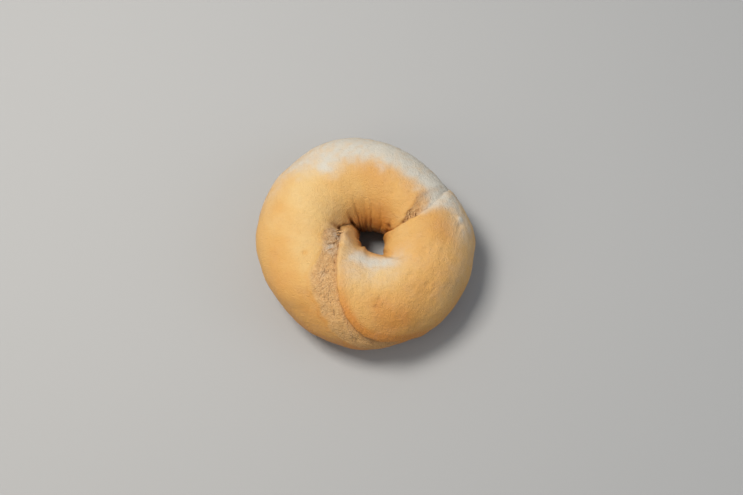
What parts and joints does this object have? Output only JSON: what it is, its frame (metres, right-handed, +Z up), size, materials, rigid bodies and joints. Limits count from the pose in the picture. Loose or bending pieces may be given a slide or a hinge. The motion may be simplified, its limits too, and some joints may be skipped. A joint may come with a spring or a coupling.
{
  "type": "bagel",
  "caption": "Plain hand-shaped bread bagel: a ring of dough whose broad end laps over the thin one, with torn seams and a floury crust.",
  "frame": {"origin": "on the surface the bagel stands on, under the middle of its outline", "axes": "+Z up through the ring, with the lap's mouth at the +X +Y side and the torn long seam at the -X -Y side"},
  "size_m": [0.1028, 0.1034, 0.0396],
  "materials": {
    "crust": "baked bread crust, pale gold with white flour, satin"
  },
  "bodies": {
    "root": {"bagel": "crust"}
  },
  "joints": []
}
